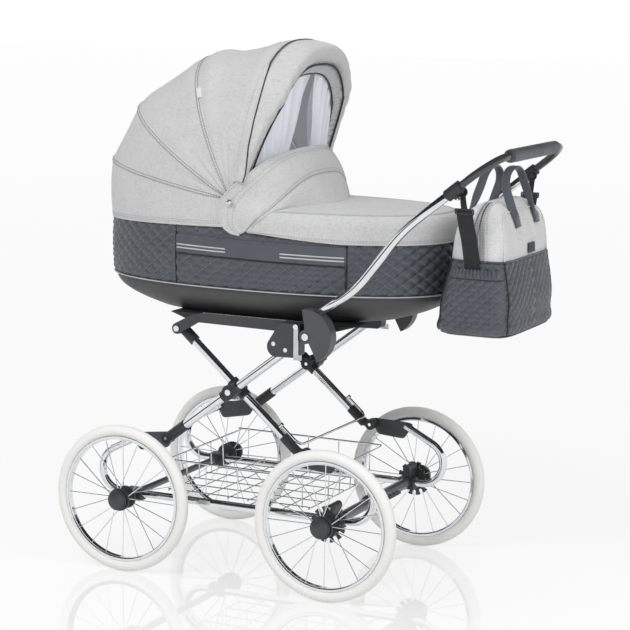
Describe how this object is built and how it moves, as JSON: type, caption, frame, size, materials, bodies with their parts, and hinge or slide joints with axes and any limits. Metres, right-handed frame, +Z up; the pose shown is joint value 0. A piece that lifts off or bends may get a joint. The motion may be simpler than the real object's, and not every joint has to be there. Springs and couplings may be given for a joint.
{
  "type": "bassinet pram",
  "caption": "Retro bassinet pram: quilted carrycot with folding hood on a spring-slung cross frame with spoked wheels, tilting handle, wire basket and a hanging changing bag.",
  "frame": {"origin": "on the ground, midway between the four wheels", "axes": "+X towards the handle, +Y towards the side away from the viewer, +Z up"},
  "size_m": [1.0856, 0.605, 1.2459],
  "materials": {
    "tyre_ivory": "ivory rubber",
    "chrome": "polished",
    "hub_plastic": "satin black",
    "axle_paint": "dark grey metallic",
    "fitting_plastic": "fine grained",
    "bracket_plastic": "blue grey",
    "disc_plastic": "dark grey",
    "rail_plastic": "dark grey with a bright strip",
    "strap_leather": "dark grey",
    "lever_steel": "brushed",
    "bar_paint": "dark grey",
    "grip_leather": "stitched leatherette",
    "tub_plastic": "fine grained",
    "slate_quilt": "quilted leatherette",
    "cord_silver": "silver piping",
    "melange_cloth": "light grey melange",
    "mattress_cloth": "white cotton",
    "sheer_cloth": "white voile",
    "bag_cloth": "quilted slate below, light grey above"
  },
  "bodies": {
    "chassis": {"front_axle": "axle_paint", "rear_axle": "axle_paint", "spring_rails": "chrome", "rail_clamps": "fitting_plastic", "front_straps": "strap_leather", "rear_straps": "strap_leather", "wire_basket": "chrome"},
    "wheel_front_near": {"tyre_front_near": "tyre_ivory", "rim_front_near": "chrome", "spokes_front_near": "chrome", "hub_front_near": "hub_plastic"},
    "wheel_front_far": {"tyre_front_far": "tyre_ivory", "rim_front_far": "chrome", "spokes_front_far": "chrome", "hub_front_far": "hub_plastic"},
    "wheel_rear_near": {"tyre_rear_near": "tyre_ivory", "rim_rear_near": "chrome", "spokes_rear_near": "chrome", "hub_rear_near": "hub_plastic"},
    "wheel_rear_far": {"tyre_rear_far": "tyre_ivory", "rim_rear_far": "chrome", "spokes_rear_far": "chrome", "hub_rear_far": "hub_plastic"},
    "brake_pedal": {"brake_pedal": "fitting_plastic"},
    "brake_pin_near": {"brake_pin_near": "chrome"},
    "brake_pin_far": {"brake_pin_far": "chrome"},
    "front_frame": {"front_arms": "chrome", "front_fittings": "fitting_plastic", "hinge_brackets": "bracket_plastic", "front_bolts": "chrome"},
    "rear_frame": {"rear_arms": "chrome", "rear_fittings": "fitting_plastic", "rear_bolts": "chrome", "stabiliser_bar": "chrome"},
    "top_rails": {"top_rails": "rail_plastic"},
    "handle": {"handle_discs": "disc_plastic", "handle_tubes": "chrome", "handle_collars": "fitting_plastic"},
    "handle_bar": {"handle_bar": "bar_paint", "handle_grip": "grip_leather"},
    "height_buttons": {"height_buttons": "chrome"},
    "fold_levers": {"fold_levers": "lever_steel"},
    "bassinet": {"tub": "tub_plastic", "side_wall": "slate_quilt", "belt_cord": "cord_silver", "base_runners": "fitting_plastic", "mattress": "mattress_cloth", "apron": "melange_cloth", "apron_flap": "melange_cloth", "hood_skirt": "melange_cloth", "hood_brackets": "fitting_plastic"},
    "bow_2": {"hood_bow_2": "lever_steel", "gore_1": "melange_cloth"},
    "bow_3": {"hood_bow_3": "lever_steel", "gore_2": "melange_cloth"},
    "hood_rim": {"rim_bow": "lever_steel", "rim_roll": "melange_cloth", "gore_3": "melange_cloth", "curtains": "sheer_cloth"},
    "bag": {"bag": "bag_cloth"}
  },
  "joints": [
    {"name": "wheel_front_near_spin", "type": "hinge", "parent": "chassis", "child": "wheel_front_near", "pos_m": [-0.263, -0.2685, 0.175], "axis": [0, 1, 0], "continuous": true},
    {"name": "wheel_front_far_spin", "type": "hinge", "parent": "chassis", "child": "wheel_front_far", "pos_m": [-0.263, 0.2685, 0.175], "axis": [0, 1, 0], "continuous": true},
    {"name": "wheel_rear_near_spin", "type": "hinge", "parent": "chassis", "child": "wheel_rear_near", "pos_m": [0.263, -0.2685, 0.175], "axis": [0, 1, 0], "continuous": true},
    {"name": "wheel_rear_far_spin", "type": "hinge", "parent": "chassis", "child": "wheel_rear_far", "pos_m": [0.263, 0.2685, 0.175], "axis": [0, 1, 0], "continuous": true},
    {"name": "brake_press", "type": "hinge", "parent": "chassis", "child": "brake_pedal", "pos_m": [0.263, 0, 0.175], "axis": [0, 1, 0], "range_deg": [0, 25]},
    {"name": "brake_pin_near_slide", "type": "slide", "parent": "chassis", "child": "brake_pin_near", "axis": [0, -1, 0], "range_m": [0, 0.006]},
    {"name": "brake_pin_far_slide", "type": "slide", "parent": "chassis", "child": "brake_pin_far", "axis": [0, 1, 0], "range_m": [0, 0.006]},
    {"name": "frame_fold", "type": "hinge", "parent": "chassis", "child": "front_frame", "pos_m": [-0.165, 0, 0.323], "axis": [0, 1, 0], "range_deg": [0, 18], "deforming": ["rear_straps"]},
    {"name": "cross_pivot", "type": "hinge", "parent": "front_frame", "child": "rear_frame", "pos_m": [0, 0, 0.44915], "axis": [0, 1, 0], "range_deg": [-36.01, 0]},
    {"name": "rail_pivot", "type": "hinge", "parent": "rear_frame", "child": "top_rails", "pos_m": [-0.15048, 0, 0.58089], "axis": [0, 1, 0], "range_deg": [0, 18.01]},
    {"name": "handle_tilt", "type": "hinge", "parent": "front_frame", "child": "handle", "pos_m": [0.20006, 0, 0.59723], "axis": [0, 1, 0], "range_deg": [0, 18]},
    {"name": "handle_height", "type": "slide", "parent": "handle", "child": "handle_bar", "axis": [0.7826, 0, 0.6225], "range_m": [0, 0.06]},
    {"name": "height_button_press", "type": "slide", "parent": "handle", "child": "height_buttons", "axis": [-0.6225, 0, 0.7826], "range_m": [0, 0.003], "stiffness_N_per_m": 900, "springref_m": -0.002},
    {"name": "fold_lever_lift", "type": "hinge", "parent": "front_frame", "child": "fold_levers", "pos_m": [0.17405, 0, 0.61723], "axis": [0, 1, 0], "range_deg": [0, 15]},
    {"name": "bassinet_lift", "type": "slide", "parent": "top_rails", "child": "bassinet", "axis": [0, 0, 1], "range_m": [0, 0.3]},
    {"name": "hood_fold", "type": "hinge", "parent": "bassinet", "child": "bow_2", "pos_m": [-0.006, 0, 0.88989], "axis": [0, -1, 0], "range_deg": [0, 14], "deforming": ["gore_1", "gore_2", "gore_3", "curtains"]},
    {"name": "bow_3_fold", "type": "hinge", "parent": "bow_2", "child": "bow_3", "pos_m": [-0.006, 0, 0.88989], "axis": [0, -1, 0], "range_deg": [0, 26.1]},
    {"name": "hood_rim_fold", "type": "hinge", "parent": "bow_3", "child": "hood_rim", "pos_m": [-0.006, 0, 0.88989], "axis": [0, -1, 0], "range_deg": [0, 31.1]},
    {"name": "bag_swing", "type": "hinge", "parent": "handle", "child": "bag", "pos_m": [0.5553, 0, 0.93965], "axis": [0, 1, 0], "range_deg": [-25, 0]}
  ],
  "couplings": [
    {"joint": "brake_pin_near_slide", "follows": "brake_press", "m_per_rad": 0.01375},
    {"joint": "brake_pin_far_slide", "follows": "brake_press", "m_per_rad": 0.01375},
    {"joint": "cross_pivot", "follows": "frame_fold", "ratio": -2},
    {"joint": "rail_pivot", "follows": "frame_fold", "ratio": 1},
    {"joint": "bow_3_fold", "follows": "hood_fold", "ratio": 1.857},
    {"joint": "hood_rim_fold", "follows": "hood_fold", "ratio": 2.214}
  ]
}
